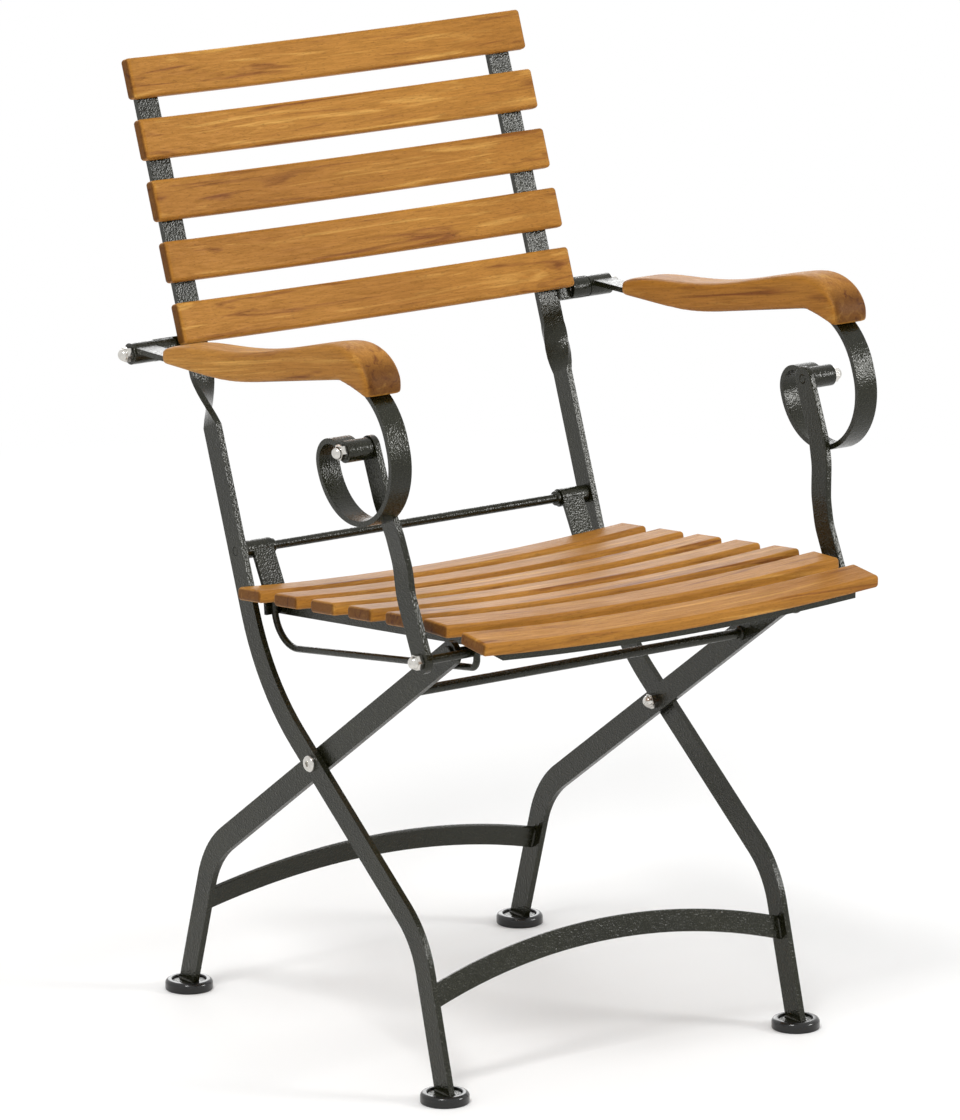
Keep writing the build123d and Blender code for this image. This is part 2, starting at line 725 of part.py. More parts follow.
# Wire guides that keep the slider rod under the rails
wire_under = seat_gap + bow_depth(wire_x - wire_radius, seat_slat_half, seat_dish, seat_slat_thick)
wire_end_depth = wire_under + wire_radius * sin(radians(2 * seat_rise))
for side, name in sides:
    with BuildPart() as guide_wire:
        with BuildLine(side_plane(side * wire_x)) as route:
            FilletPolyline(
                seat_line(wire_rear_top_reach, wire_end_depth),
                seat_line(-wire_rear_reach, wire_rear_depth),
                seat_line(wire_front_reach, wire_front_depth),
                seat_curve(wire_front_top_reach, wire_end_depth),
                radius=[wire_rear_radius, wire_front_radius],
            )
        with BuildSketch(Plane(route.line @ 0, z_dir=route.line % 0)):
            Circle(wire_radius)
        sweep()
    guide_wire.part.label = f"guide_wire_{name}"
    export_step(guide_wire.part, f"parts/guide_wire_{name}.step")

# Slider rod between the rear legs' upper ends
slider_end_x = rear_inner_x - side_gap
with BuildPart() as slider_rod:
    add_rod(slider, rod_radius, -slider_end_x, slider_end_x)
slider_rod.part.label = "slider_rod"
export_step(slider_rod.part, "parts/slider_rod.step")

# Arm rod across the seat's front: it carries the posts and stops the rear legs
post_inner_x = post_x - bar_thick / 2
post_outer_x = post_x + bar_thick / 2
post_nut_x = post_outer_x + side_gap
with BuildPart() as seat_arm_rod:
    rod_end_x = post_nut_x + nut_height - seat_gap
    add_rod(arm_rod, pin_radius, -rod_end_x, rod_end_x)
    for side, name in sides:
        collar_x = post_inner_x - side_gap
        add_rod(arm_rod, collar_radius, side * collar_x, side * (collar_x - collar_length))
seat_arm_rod.part.label = "seat_arm_rod"
export_step(seat_arm_rod.part, "parts/seat_arm_rod.step")

with BuildPart() as post_nuts:
    for side, name in sides:
        add_acorn_nut(side, post_nut_x, arm_rod)
post_nuts.part.label = "post_nuts"
export_step(post_nuts.part, "parts/post_nuts.step")

# Arm posts between the arm rod and the front of each arm, bent in the side view and outwards
post_path = [arm_rod]
for reach, offset in (post_bend_low, post_bend_high):
    post_path.append(moved(arm_rod, moved(polar(reach, back_angle), polar(offset, back_angle + 90.0))))
post_path.append(arm_front)
post_top_inner_x = post_top_x - bar_thick / 2
post_ends = (
    (arm_rod, post_inner_x, post_outer_x),
    (arm_front, post_top_inner_x, post_top_x + bar_thick / 2),
)
for side, name in sides:
    with BuildPart() as arm_post:
        add_bar(post_path, [post_bend_radius, post_bend_radius], side * arm_x, bar_width, arm_x)
        with BuildSketch(Plane.XZ) as front_view:
            with BuildLine():
                FilletPolyline(
                    (side * post_x, arm_rod[1] - bar_width),
                    (side * post_x, arm_rod[1] + post_joggle_low),
                    (side * post_top_x, arm_rod[1] + post_joggle_high),
                    (side * post_top_x, arm_front[1] + bar_width),
                    radius=post_joggle_radius,
                )
            trace(line_width=bar_thick)
        extrude(front_view.sketch, amount=back_top_height, both=True, mode=Mode.INTERSECT)
        for pivot, start_x, end_x in post_ends:
            add_rod(pivot, bar_width / 2, side * start_x, side * end_x)
        for pivot, start_x, end_x in post_ends:
            add_rod(pivot, pin_radius + fit_gap, side * start_x, side * end_x, Mode.SUBTRACT)
    arm_post.part.label = f"arm_post_{name}"
    export_step(arm_post.part, f"parts/arm_post_{name}.step")

# Arm bars: an eye at the back, a run under the wood, and a scroll that ends in the front eye
arm_root_point = moved(arm_pivot, arm_root)
arm_bend_point = moved(arm_pivot, arm_bend)
scroll_middle = moved(arm_front, scroll_offset)
scroll_entry = moved(scroll_middle, polar(scroll_radius, scroll_start))
arm_shoulder = meet(arm_bend_point, 180.0 - arm_slope, scroll_entry, scroll_start + 90.0)
shoulder_leg = hypot(arm_shoulder[0] - scroll_entry[0], arm_shoulder[1] - scroll_entry[1])
shoulder_half_turn = radians(scroll_start + arm_slope - 90.0) / 2
shoulder_room = (shoulder_leg - arm_shoulder_run) / tan(shoulder_half_turn)
curl_start = scroll_start + scroll_turn
curl_middle = moved(scroll_middle, polar(scroll_radius - curl_radius, curl_start))


def add_arm_band(side, thickness, width, mode=Mode.ADD):
    """The arm's flat band, face up, with its scroll."""
    with BuildSketch(side_plane(side * arm_x)) as outline:
        with BuildLine():
            FilletPolyline(
                arm_root_point,
                arm_bend_point,
                arm_shoulder,
                scroll_entry,
                radius=[arm_bend_radius, min(arm_shoulder_radius, shoulder_room)],
            )
            CenterArc(scroll_middle, scroll_radius, scroll_start, scroll_turn)
            CenterArc(curl_middle, curl_radius, curl_start, curl_turn)
        trace(line_width=thickness)
    extrude(outline.sketch, amount=width / 2, both=True, mode=mode)


arm_run_angle = degrees(atan2(arm_bend[1] - arm_root[1], arm_bend[0] - arm_root[0]))


def on_arm(y, lift):
    """Place over the arm bar's middle line, at a distance y from the arm pivot."""
    place = moved(arm_pivot, (y, 0.0))
    if y > arm_bend[0]:
        base = meet(arm_bend_point, arm_run_angle, place, 90.0)
    else:
        base = meet(arm_bend_point, 180.0 - arm_slope, place, 90.0)
    return moved(base, (0.0, lift))


arm_screw_planes = (
    face_plane(on_arm(arm_screw_rear, 0.0), arm_run_angle - 180.0),
    face_plane(on_arm(arm_screw_front, 0.0), -arm_slope),
)
arm_screw_sunk = screw_head_height + seat_gap
for side, name in sides:
    with BuildPart() as arm_bar:
        add_arm_band(side, arm_bar_thick, arm_bar_width)
        for pivot in (arm_pivot, arm_front):
            add_rod(pivot, eye_radius, side * eye_inner_x, side * eye_outer_x)
        for pivot in (arm_pivot, arm_front):
            add_rod(pivot, pin_radius + fit_gap, side * eye_inner_x, side * eye_outer_x, Mode.SUBTRACT)
        for plane in arm_screw_planes:
            with BuildSketch(plane):
                with Locations((side * arm_x, 0)):
                    Circle(screw_radius + fit_gap)
            extrude(amount=arm_bar_thick, both=True, mode=Mode.SUBTRACT)
            with BuildSketch(plane.offset(arm_screw_sunk - arm_bar_thick / 2 + seat_gap)):
                with Locations((side * arm_x, 0)):
                    Circle(screw_head_radius + fit_gap)
            extrude(amount=-arm_bar_thick, mode=Mode.SUBTRACT)
    arm_bar.part.label = f"arm_bar_{name}"
    export_step(arm_bar.part, f"parts/arm_bar_{name}.step")

# Wooden armrests: shaped to the side outline, rounded, and grooved for the arm bar
wood_drop = arm_bar_thick / 2 - arm_groove_depth
wood_tip_low = on_arm(arm_wood_tip_low, wood_drop)
wood_rest_end = on_arm(arm_wood_rest_end, wood_drop)
tip_y = pivot_y + arm_pivot[0] + arm_wood_tip[0] - arm_wood_end_trim
nose_y = pivot_y + arm_pivot[0] + arm_wood_lip[0] + arm_wood_end_trim
for side, name in sides:
    with BuildPart() as armrest:
        with BuildSketch(side_plane(side * arm_x)):
            with BuildLine():
                FilletPolyline(
                    wood_tip_low, on_arm(arm_bend[0], wood_drop), wood_rest_end, radius=arm_bend_radius
                )
                Spline(
                    wood_rest_end,
                    moved(arm_pivot, arm_wood_hollow),
                    moved(arm_pivot, arm_wood_lip_inner),
                )
                Line(moved(arm_pivot, arm_wood_lip_inner), moved(arm_pivot, arm_wood_lip))
                Spline(
                    moved(arm_pivot, arm_wood_lip),
                    moved(arm_pivot, arm_wood_brow),
                    moved(arm_pivot, arm_wood_crown),
                    *[moved(arm_pivot, point) for point in reversed(arm_wood_top)],
                    moved(arm_pivot, arm_wood_tip_high),
                )
                ThreePointArc(
                    moved(arm_pivot, arm_wood_tip_high), moved(arm_pivot, arm_wood_tip), wood_tip_low
                )
            make_face()
        extrude(amount=arm_wood_width / 2, both=True)
        flanks = armrest.faces().sort_by(Axis.X)
        top_edges = [flank.edges().sort_by(SortBy.LENGTH)[-1] for flank in (flanks[0], flanks[-1])]
        fillet(top_edges, arm_wood_edge_radius)
        with BuildSketch(Plane.XY):
            for end_y, radius in ((tip_y - arm_wood_tip_radius, arm_wood_tip_radius),
                                  (nose_y + arm_wood_nose_radius, arm_wood_nose_radius)):
                inset = arm_wood_width / 2 - radius
                with Locations((side * arm_x - inset, end_y), (side * arm_x + inset, end_y)):
                    Circle(radius)
            make_hull()
        extrude(amount=back_top_height, mode=Mode.INTERSECT)
        add_arm_band(side, arm_bar_thick + 2 * seat_gap, arm_bar_width + 2 * seat_gap, Mode.SUBTRACT)
        for plane in arm_screw_planes:
            with BuildSketch(plane):
                with Locations((side * arm_x, 0)):
                    Circle(screw_radius + fit_gap)
            extrude(amount=arm_bar_thick / 2 + screw_bite, mode=Mode.SUBTRACT)
    armrest.part.label = f"armrest_{name}"
    export_step(armrest.part, f"parts/armrest_{name}.step")

# Fasteners of each arm: the bolt and nut of its front eye, and the screws under the wood
for side, name in sides:
    with BuildPart() as arm_bolt:
        add_rod(arm_front, pin_radius, side * post_top_inner_x, side * bolt_end_x)
    arm_bolt.part.label = f"arm_bolt_{name}"
    export_step(arm_bolt.part, f"parts/arm_bolt_{name}.step")

    with BuildPart() as arm_nut:
        add_acorn_nut(side, nut_base_x, arm_front)
    arm_nut.part.label = f"arm_nut_{name}"
    export_step(arm_nut.part, f"parts/arm_nut_{name}.step")

    with BuildPart() as arm_screws:
        for plane in arm_screw_planes:
            head_plane = plane.offset(arm_screw_sunk - arm_bar_thick / 2)
            with BuildSketch(head_plane):
                with Locations((side * arm_x, 0)):
                    Circle(screw_head_radius)
            extrude(amount=-screw_head_height)
            with BuildSketch(head_plane):
                with Locations((side * arm_x, 0)):
                    Circle(screw_radius)
            extrude(amount=arm_bar_thick - arm_screw_sunk + screw_bite - seat_gap)
    arm_screws.part.label = f"arm_screws_{name}"
    export_step(arm_screws.part, f"parts/arm_screws_{name}.step")
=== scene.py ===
"""Folding armchair: finishes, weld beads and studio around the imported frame."""

import json
from collections import namedtuple
from math import cos, pi, radians, sin

import bmesh
import bpy
from bpy.props import FloatProperty, FloatVectorProperty, IntProperty, PointerProperty
from mathutils import Matrix, Vector


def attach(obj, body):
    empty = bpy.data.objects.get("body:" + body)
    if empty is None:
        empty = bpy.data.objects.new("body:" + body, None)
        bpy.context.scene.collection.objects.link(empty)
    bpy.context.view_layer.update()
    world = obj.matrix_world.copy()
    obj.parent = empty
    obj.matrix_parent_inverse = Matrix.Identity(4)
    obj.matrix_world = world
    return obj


bl_info = {
    "name": "Folding armchair finishes",
    "version": (1, 0, 0),
    "blender": (4, 5, 0),
    "location": "View3D > Sidebar > Armchair",
    "description": "Hammered paint, oiled wood, bright fasteners and welds for a folding armchair",
    "category": "Object",
}

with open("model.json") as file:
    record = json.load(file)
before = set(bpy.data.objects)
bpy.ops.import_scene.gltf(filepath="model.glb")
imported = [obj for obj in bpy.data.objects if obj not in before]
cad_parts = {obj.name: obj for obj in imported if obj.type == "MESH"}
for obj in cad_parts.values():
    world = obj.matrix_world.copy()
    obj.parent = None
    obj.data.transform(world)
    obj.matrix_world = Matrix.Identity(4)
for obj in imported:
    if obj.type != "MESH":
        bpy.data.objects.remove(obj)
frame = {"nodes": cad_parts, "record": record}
NODES = frame["nodes"]
SIDES = (-1, 1)
WHITE = (1.0, 1.0, 1.0)

# Turns that bring the grain onto X: the slats lie across the chair, and the armrests run from
# rear to front with a rise
ARM_RISE = radians(11.4)
SLAT_GRAIN = (0.0, 0.0, 0.0)
ARMREST_GRAIN = (ARM_RISE, 0.0, pi / 2)

# Rounding of the frame's nodes
JOIN_DISTANCE = 1e-6
FLAT_ANGLE = radians(0.5)
SHARP_ANGLE = radians(35.0)
FACE_WEIGHT = 80
SANDING_FACTOR = 0.5

# Weld beads: steps in a ripple, depth of a ripple, size of the tips and how fast they swell
BEAD_JOIN_DISTANCE = 1e-7
RIPPLE_STEPS = 4
RIPPLE_DEPTH = 0.12
BEAD_TIP = 0.35
BEAD_SWELL = 5.0

# Leg rod: place (y, z) and where its ends meet the rear legs
LEG_ROD_PLACE = (-0.1266, 0.3648)
LEG_ROD_END = 0.1884
LEG_ROD_RADIUS = 0.0047

# Welded joint: distance across, place (y, z), lean, half run, half gap, and whether the bar comes
# from the side, so that its beads lie on its front and rear
Weld = namedtuple("Weld", "across place lean half_run half_gap from_side")
WELDS = {
    "back_frame": (
        Weld(0.1958, (-0.1792, 0.0915), radians(15.8), 0.0095, 0.0028, True),
        Weld(0.2112, (0.1974, 0.6302), radians(20.4), 0.009, 0.0029, True),
        Weld(0.1995, (-0.2028, 0.0086), radians(90.0), 0.0112, 0.0034, False),
    ),
    "rear_legs": (
        Weld(0.1883, (0.2038, 0.0925), radians(-16.8), 0.0095, 0.0028, True),
        Weld(0.1920, (0.2293, 0.0086), radians(90.0), 0.0112, 0.0034, False),
    ),
}

# Studio: lamps as name, place, width and power, and the sky's light by height
LAMPS = (
    ("key_lamp", (-1.9, -1.3, 3.7), 1.0, 60.0),
    ("fill_lamp", (2.8, -2.75, 2.05), 1.1, 50.0),
    ("back_lamp", (1.8, 3.4, 1.5), 2.0, 25.0),
)
LAMP_AIM = (0.0, 0.0, 0.45)
SKY_LIGHT = ((0.05, 0.24), (0.8, 0.95))
VIEW_REACH = 100.0


def nodes_with_slot(slot):
    subparts = frame["record"]["subparts"]
    return [part["node"] for part in subparts if part["material_slot"] == slot]


# Settings
def colour(name, description, default):
    return FloatVectorProperty(
        name=name, description=description, default=default,
        subtype="COLOR", size=3, min=0.0, max=1.0,
    )


def length(name, description, default):
    return FloatProperty(
        name=name, description=description, default=default, min=0.0, unit="LENGTH", precision=5
    )


def angle(name, description, default):
    return FloatProperty(name=name, description=description, default=default, unit="ROTATION")


def fraction(name, description, default):
    return FloatProperty(name=name, description=description, default=default, min=0.0, max=1.0)


def shift(name, description, default):
    return FloatProperty(name=name, description=description, default=default, precision=4)


def group(kind, name, description):
    return PointerProperty(type=kind, name=name, description=description)


class PaintSettings(bpy.types.PropertyGroup):
    base: colour("Paint", "Body colour of the hammered paint", (0.0095, 0.0098, 0.002))
    # The pale speck colour is a painted glint: specks that stand in for the sparkling highlights of
    # the hammer marks
    painted_glint: colour("Glint", "Colour of the pale flakes in the paint", (0.052, 0.052, 0.034))
    pock: length("Hammer mark", "Width of one hammer mark", 0.0015)
    pock_depth: length("Hammer depth", "Depth of a hammer mark", 0.00028)
    painted_glint_size: length("Flake size", "Width of one pale flake", 0.0009)
    roughness: fraction("Roughness", "Gloss of the paint", 0.2)
    edge: length("Edge", "Rounding of the flat bars' edges", 0.0009)


class WoodSettings(bpy.types.PropertyGroup):
    pale: colour("Pale grain", "Colour of the palest grain", (0.66, 0.345, 0.075))
    honey: colour("Honey", "Main colour of the oiled wood", (0.47, 0.208, 0.032))
    dark: colour("Dark grain", "Colour of the dark streaks", (0.25, 0.085, 0.013))
    streak: length("Streak", "Width of one grain streak", 0.011)
    fibre: length("Fibre", "Width of one fibre", 0.0016)
    pore: length("Pore", "Width of one pore", 0.0006)
    voxel: length("Mesh", "Size of one face of a hand-rounded piece", 0.0012)
    rounding: IntProperty(
        name="Rounding", description="Sanding passes over an armrest", default=36, min=0
    )
    roughness: fraction("Roughness", "Sheen of the oil", 0.46)


class MetalSettings(bpy.types.PropertyGroup):
    nickel: colour("Nickel", "Colour of the bright nuts and bolts", (0.66, 0.64, 0.60))
    nickel_roughness: fraction("Nickel roughness", "Gloss of the bright nuts and bolts", 0.1)
    zinc: colour("Zinc", "Colour of the screws", (0.46, 0.46, 0.45))
    zinc_roughness: fraction("Zinc roughness", "Gloss of the screws", 0.34)
    edge: length("Edge", "Rounding of the nuts' edges", 0.0005)


class FootSettings(bpy.types.PropertyGroup):
    black: colour("Foot", "Colour of the glossy foot caps", (0.005, 0.005, 0.004))
    edge: length("Edge", "Rounding of the caps' inner rim", 0.0012)
    segments: IntProperty(
        name="Segments", description="Faces across the rounding of a rim", default=3, min=1
    )


class WeldSettings(bpy.types.PropertyGroup):
    radius: length("Bead", "Half the width of a weld bead", 0.0022)
    ripple: length("Ripple", "Distance between the ripples of a bead", 0.0026)
    sides: IntProperty(name="Sides", description="Faces around a bead", default=10, min=6, max=24)


class ViewSettings(bpy.types.PropertyGroup):
    azimuth: angle("Azimuth", "Camera's turn about the chair", radians(-35.29))
    elevation: angle("Elevation", "Camera's height angle", radians(13.809))
    distance: length("Distance", "From the camera to the chair's middle", 7.924)
    middle: FloatVectorProperty(
        name="Middle", description="Point that the camera's axis meets",
        default=(0.0, 0.0139, 0.4427), subtype="XYZ", unit="LENGTH", size=3,
    )
    field: angle("Field", "Height of the view, as an angle", radians(7.491))
    shift_x: shift("Shift X", "Framing across", -0.0057)
    shift_y: shift("Shift Y", "Framing up", -0.0089)
    floor: colour("Floor", "Colour of the studio floor", (0.94, 0.94, 0.935))
    floor_size: length("Floor size", "Length of the studio floor's side", 60.0)


class ArmchairSettings(bpy.types.PropertyGroup):
    paint: group(PaintSettings, "Paint", "Hammered paint of the frame")
    wood: group(WoodSettings, "Wood", "Oiled wood of slats and armrests")
    metal: group(MetalSettings, "Metal", "Bright nuts, bolts and screws")
    foot: group(FootSettings, "Feet", "Glossy foot caps")
    weld: group(WeldSettings, "Welds", "Weld beads under the paint")
    view: group(ViewSettings, "View", "Camera and floor")


# Materials
def start_material(name):
    """New node material, returned with its tree and its Principled shader."""
    material = bpy.data.materials.new(name)
    material.use_nodes = True
    tree = material.node_tree
    return material, tree, tree.nodes["Principled BSDF"]


def feed(tree, socket, value):
    """Joins a socket to another one, or gives it a value."""
    if isinstance(value, bpy.types.NodeSocket):
        tree.links.new(value, socket)
    else:
        socket.default_value = value


def add_node(tree, kind, settings=None, **values):
    """Shader node with its settings, and its inputs set by value or joined to a socket."""
    node = tree.nodes.new(kind)
    for key, value in (settings or {}).items():
        setattr(node, key, value)
    for key, value in values.items():
        feed(tree, node.inputs[key.replace("_", " ")], value)
    return node


def turned_place(tree, source, rotation):
    """A texture coordinate of the piece, turned."""
    coordinates = tree.nodes.new("ShaderNodeTexCoord")
    turned = add_node(
        tree, "ShaderNodeMapping", Vector=coordinates.outputs[source], Rotation=rotation
    )
    return turned.outputs["Vector"]


def object_place(tree, scale=(1.0, 1.0, 1.0), rotation=(0.0, 0.0, 0.0)):
    """Place on the piece, turned and then stretched."""
    turned = turned_place(tree, "Object", rotation)
    mapping = add_node(tree, "ShaderNodeMapping", Vector=turned, Scale=scale)
    return mapping.outputs["Vector"]


def noise(tree, vector, scale, detail=2.0, roughness=0.5, distortion=0.0):
    node = add_node(
        tree, "ShaderNodeTexNoise",
        Vector=vector, Scale=scale, Detail=detail, Roughness=roughness, Distortion=distortion,
    )
    return node.outputs["Fac"]


def ramp(tree, factor, stops):
    """Colour ramp through (position, grey level or colour) stops."""
    node = add_node(tree, "ShaderNodeValToRGB", Fac=factor)
    elements = node.color_ramp.elements
    while len(elements) < len(stops):
        elements.new(0.5)
    for element, (position, value) in zip(elements, stops):
        element.position = position
        tone = (value, value, value) if isinstance(value, float) else tuple(value)
        element.color = (*tone, 1.0)
    return node.outputs["Color"]


def opaque(value):
    """A colour with its alpha, or a socket as it is."""
    return value if isinstance(value, bpy.types.NodeSocket) else (*value, 1.0)


def mix(tree, blend, factor, first, second):
    """Blend of two colours. The node keeps its colour sockets behind those of its other types."""
    node = add_node(tree, "ShaderNodeMix", {"data_type": "RGBA", "blend_type": blend})
    for index, value in ((0, factor), (6, opaque(first)), (7, opaque(second))):
        feed(tree, node.inputs[index], value)
    return node.outputs[2]


def maths(tree, operation, *values):
    node = add_node(tree, "ShaderNodeMath", {"operation": operation})
    for socket, value in zip(node.inputs, values):
        feed(tree, socket, value)
    return node.outputs["Value"]


def bump(tree, shader, height, distance, strength):
    node = add_node(tree, "ShaderNodeBump", Height=height, Distance=distance, Strength=strength)
    tree.links.new(node.outputs["Normal"], shader.inputs["Normal"])


def hammered_paint(settings):
    """Dark paint with small round hammer marks, and pale specks painted into its colour as glints.
    """
    mark_blend = 0.7
    mark_roundness = 2.0
    swell_scale = 0.3
    swell_height = 0.5
    cloud_scale = 24.0
    gloss_scale = 180.0
    gloss_spread = 0.08
    material, tree, shader = start_material("hammered_paint")
    place = object_place(tree)
    marks = add_node(
        tree, "ShaderNodeTexVoronoi", {"feature": "SMOOTH_F1"},
        Vector=place, Scale=1.0 / settings.pock, Smoothness=mark_blend,
    )
    dimple = maths(tree, "POWER", marks.outputs["Distance"], mark_roundness)
    swell = noise(tree, place, swell_scale / settings.pock, detail=1.0)
    relief = maths(tree, "ADD", dimple, maths(tree, "MULTIPLY", swell, swell_height))
    # Pale specks painted into the base colour as glints of the hammered finish
    glint_noise = noise(tree, place, 1.0 / settings.painted_glint_size, detail=1.0)
    painted_glints = ramp(tree, glint_noise, [(0.56, 0.0), (0.72, 1.0)])
    cloud = ramp(tree, noise(tree, place, cloud_scale), [(0.3, 0.75), (0.7, 1.0)])
    glint_speckled = mix(tree, "MIX", painted_glints, settings.base, settings.painted_glint)
    tree.links.new(mix(tree, "MULTIPLY", 1.0, glint_speckled, cloud), shader.inputs["Base Color"])
    gloss = ramp(
        tree, noise(tree, place, gloss_scale),
        [(0.3, settings.roughness - gloss_spread), (0.7, settings.roughness + gloss_spread)],
    )
    tree.links.new(gloss, shader.inputs["Roughness"])
    shader.inputs["Metallic"].default_value = 0.15
    shader.inputs["Specular IOR Level"].default_value = 0.4
    bump(tree, shader, relief, settings.pock_depth, strength=1.0)
    return material


def end_grain(tree, rotation):
    """Mask of the faces that cut across the grain."""
    facing = turned_place(tree, "Normal", rotation)
    parts = add_node(tree, "ShaderNodeSeparateXYZ", Vector=facing)
    across = maths(tree, "ABSOLUTE", parts.outputs["X"])
    return ramp(tree, across, [(0.55, 0.0), (0.9, 1.0)])


def oiled_wood(name, settings, rotation):
    """Honey wood with long streaks, fibres and pores along its own grain."""
    long_stretch = (0.05, 1.0, 1.0)
    short_stretch = (0.12, 1.0, 1.0)
    board_stretch = (0.35, 1.0, 1.0)
    board_scale = 13.0
    board_shade = (0.78, 0.72, 0.64)
    # Faces across the grain are darkened: partly the wood's own end grain, partly painted shade at
    # the ends
    end_grain_and_painted_shade = (0.38, 0.33, 0.30)
    pore_darkness = 0.8
    fibre_height = 0.8
    fibre_matt = 0.1
    fibre_sheen = 0.06
    relief_depth = 0.00012
    relief_strength = 0.6
    material, tree, shader = start_material(name)
    long_grain = object_place(tree, long_stretch, rotation)
    short_grain = object_place(tree, short_stretch, rotation)
    board_grain = object_place(tree, board_stretch, rotation)
    streaks = noise(
        tree, long_grain, 1.0 / settings.streak, detail=3.0, roughness=0.55, distortion=0.9
    )
    fibres = noise(
        tree, long_grain, 1.0 / settings.fibre, detail=3.0, roughness=0.6, distortion=0.3
    )
    pores = noise(tree, short_grain, 1.0 / settings.pore, detail=1.0)
    boards = noise(tree, board_grain, board_scale, detail=1.0)
    tones = ramp(
        tree, streaks,
        [
            (0.30, settings.dark), (0.43, settings.honey),
            (0.57, settings.honey), (0.70, settings.pale),
        ],
    )
    fine = ramp(tree, fibres, [(0.30, 0.74), (0.62, 1.0)])
    dashes = ramp(tree, pores, [(0.30, 0.62), (0.40, 1.0)])
    board_tone = ramp(tree, boards, [(0.30, board_shade), (0.70, WHITE)])
    shaded = mix(tree, "MULTIPLY", 1.0, tones, fine)
    shaded = mix(tree, "MULTIPLY", pore_darkness, shaded, dashes)
    shaded = mix(tree, "MULTIPLY", 1.0, shaded, board_tone)
    # Ends across the grain darkened: end grain and painted shade together
    shaded = mix(tree, "MULTIPLY", end_grain(tree, rotation), shaded, end_grain_and_painted_shade)
    tree.links.new(shaded, shader.inputs["Base Color"])
    sheen = ramp(
        tree, fibres,
        [(0.3, settings.roughness + fibre_matt), (0.7, settings.roughness - fibre_sheen)],
    )
    tree.links.new(sheen, shader.inputs["Roughness"])
    shader.inputs["Specular IOR Level"].default_value = 0.15
    relief = maths(tree, "ADD", dashes, maths(tree, "MULTIPLY", fibres, fibre_height))
    bump(tree, shader, relief, relief_depth, relief_strength)
    return material


def plated_metal(name, tone, roughness):
    """Plated steel with faint smudges and fine scratches."""
    smudge_scale = 320.0
    smudge_matt = 0.1
    scratch_scale = 900.0
    scratch_depth = 0.00003
    scratch_strength = 0.4
    material, tree, shader = start_material(name)
    place = object_place(tree)
    smudge = noise(tree, place, smudge_scale, detail=3.0)
    smudged = ramp(tree, smudge, [(0.3, 0.82), (0.7, 1.0)])
    tree.links.new(mix(tree, "MULTIPLY", 1.0, smudged, tone), shader.inputs["Base Color"])
    gloss = ramp(tree, smudge, [(0.35, roughness + smudge_matt), (0.65, roughness)])
    tree.links.new(gloss, shader.inputs["Roughness"])
    shader.inputs["Metallic"].default_value = 1.0
    bump(tree, shader, noise(tree, place, scratch_scale), scratch_depth, scratch_strength)
    return material


def glossy_black(settings):
    """Moulded black plastic with a faint orange-peel surface."""
    dust_scale = 260.0
    gloss_scale = 120.0
    peel_scale = 420.0
    peel_depth = 0.00006
    peel_strength = 0.35
    material, tree, shader = start_material("foot_plastic")
    place = object_place(tree)
    specks = noise(tree, place, dust_scale, detail=3.0)
    dust = ramp(tree, specks, [(0.35, 0.7), (0.75, 1.3)])
    tree.links.new(mix(tree, "MULTIPLY", 1.0, dust, settings.black), shader.inputs["Base Color"])
    gloss = ramp(tree, noise(tree, place, gloss_scale), [(0.3, 0.12), (0.7, 0.24)])
    tree.links.new(gloss, shader.inputs["Roughness"])
    peel = noise(tree, place, peel_scale, detail=1.0)
    bump(tree, shader, peel, peel_depth, peel_strength)
    return material


def seen_rays(tree):
    """Mask of the rays that show the background: from the camera, mirrored or through glass."""
    path = tree.nodes.new("ShaderNodeLightPath")
    direct, mirrored, through = (
        path.outputs[f"Is {kind} Ray"] for kind in ("Camera", "Glossy", "Transmission")
    )
    return maths(tree, "MAXIMUM", maths(tree, "MAXIMUM", direct, mirrored), through)


def pale_floor(tone):
    """Studio floor: shaded near the chair, and white far away, where it is seen or mirrored."""
    grain_scale = 400.0
    grain_depth = 0.0002
    grain_strength = 0.1
    ramp_length = 4.0
    material, tree, shader = start_material("studio_floor")
    shader.inputs["Base Color"].default_value = opaque(tone)
    shader.inputs["Roughness"].default_value = 0.9
    shader.inputs["Specular IOR Level"].default_value = 0.0
    place = object_place(tree)
    bump(tree, shader, noise(tree, place, grain_scale), grain_depth, grain_strength)
    away = add_node(tree, "ShaderNodeVectorMath", {"operation": "LENGTH"}, Vector=place)
    reach = maths(tree, "DIVIDE", away.outputs["Value"], ramp_length)
    far = ramp(tree, reach, [(0.12, 0.0), (0.6, 1.0)])
    white = add_node(tree, "ShaderNodeEmission", Strength=1.0)
    whitened = maths(tree, "MULTIPLY", far, seen_rays(tree))
    backdrop = add_node(tree, "ShaderNodeMixShader", Fac=whitened)
    tree.links.new(shader.outputs["BSDF"], backdrop.inputs[1])
    tree.links.new(white.outputs["Emission"], backdrop.inputs[2])
    tree.links.new(backdrop.outputs["Shader"], tree.nodes["Material Output"].inputs["Surface"])
    return material


# Shared making steps
def dress(node, material):
    """Gives a frame node one material."""
    mesh = NODES[node].data
    mesh.materials.clear()
    mesh.materials.append(material)


def join_faces(node):
    """Joins a frame node's loose faces with a modifier, and returns its object."""
    piece = NODES[node]
    weld = piece.modifiers.new("join_faces", "WELD")
    weld.merge_threshold = JOIN_DISTANCE
    return piece


def soften(node, width, segments=2):
    """Rounds a frame node's sharp edges, without a change to its own mesh."""
    piece = join_faces(node)
    flat = piece.modifiers.new("flat_faces", "DECIMATE")
    flat.decimate_type = "DISSOLVE"
    flat.angle_limit = FLAT_ANGLE
    rounded = piece.modifiers.new("round_edges", "BEVEL")
    rounded.width = width
    rounded.segments = segments
    rounded.limit_method = "ANGLE"
    rounded.angle_limit = SHARP_ANGLE
    rounded.use_clamp_overlap = True
    normals = piece.modifiers.new("even_normals", "WEIGHTED_NORMAL")
    normals.weight = FACE_WEIGHT


